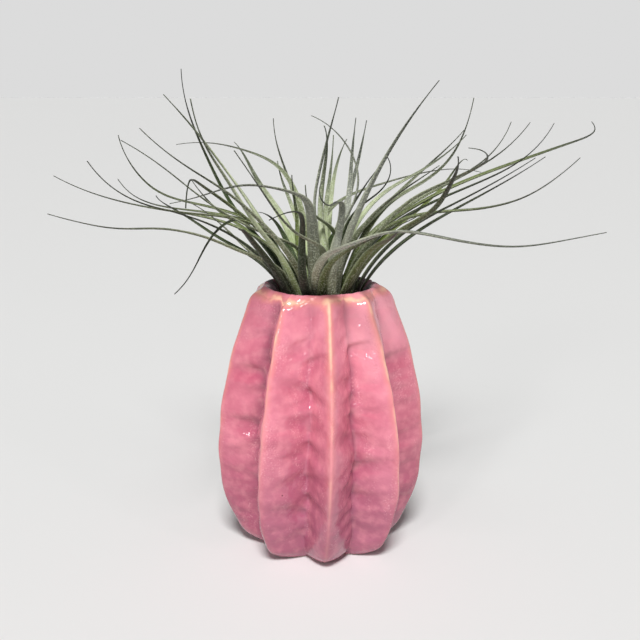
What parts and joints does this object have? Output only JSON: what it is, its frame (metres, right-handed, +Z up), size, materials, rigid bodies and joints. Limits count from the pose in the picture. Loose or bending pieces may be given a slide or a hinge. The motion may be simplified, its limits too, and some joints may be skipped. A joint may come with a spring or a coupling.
{
  "type": "air plant in a vase",
  "caption": "Rosette of narrow arching air plant leaves that stands loose in the mouth of a ribbed glazed ceramic vase.",
  "frame": {"origin": "middle of the vase's flat foot, on the surface that it stands on", "axes": "+Z up along the vase's axis, -Y towards the front, +X to the right seen from the front"},
  "size_m": [0.2238, 0.18, 0.1856],
  "materials": {
    "glaze": "glossy pink glaze that breaks cream on the edges",
    "stem": "dry and fibrous",
    "leaf_young": "pale silver green with a fine grey scale",
    "leaf_grown": "silver green with a fine grey scale",
    "leaf_old": "olive green with a fine grey scale"
  },
  "bodies": {
    "root": {"vase": "glaze", "stem": "stem", "leaf_01": "leaf_young", "leaf_02": "leaf_young", "leaf_03": "leaf_young", "leaf_04": "leaf_young", "leaf_05": "leaf_young", "leaf_06": "leaf_young", "leaf_07": "leaf_young", "leaf_08": "leaf_young", "leaf_09": "leaf_young", "leaf_10": "leaf_young", "leaf_11": "leaf_young", "leaf_12": "leaf_young", "leaf_13": "leaf_young", "leaf_14": "leaf_young", "leaf_15": "leaf_young", "leaf_16": "leaf_young", "leaf_17": "leaf_grown", "leaf_18": "leaf_grown", "leaf_19": "leaf_grown", "leaf_20": "leaf_grown", "leaf_21": "leaf_grown", "leaf_22": "leaf_grown", "leaf_23": "leaf_grown", "leaf_24": "leaf_grown", "leaf_25": "leaf_grown", "leaf_26": "leaf_grown", "leaf_27": "leaf_grown", "leaf_28": "leaf_grown", "leaf_29": "leaf_grown", "leaf_30": "leaf_grown", "leaf_31": "leaf_grown", "leaf_32": "leaf_grown", "leaf_33": "leaf_grown", "leaf_34": "leaf_grown", "leaf_35": "leaf_grown", "leaf_36": "leaf_grown", "leaf_37": "leaf_old", "leaf_38": "leaf_old", "leaf_39": "leaf_old", "leaf_40": "leaf_old", "leaf_41": "leaf_old", "leaf_42": "leaf_old", "leaf_43": "leaf_old", "leaf_44": "leaf_old", "leaf_45": "leaf_old", "leaf_46": "leaf_old", "leaf_47": "leaf_old", "leaf_48": "leaf_old", "leaf_49": "leaf_old", "leaf_50": "leaf_old", "leaf_51": "leaf_old", "leaf_52": "leaf_old", "leaf_53": "leaf_old", "leaf_54": "leaf_old", "leaf_55": "leaf_old", "leaf_56": "leaf_old"}
  },
  "joints": []
}
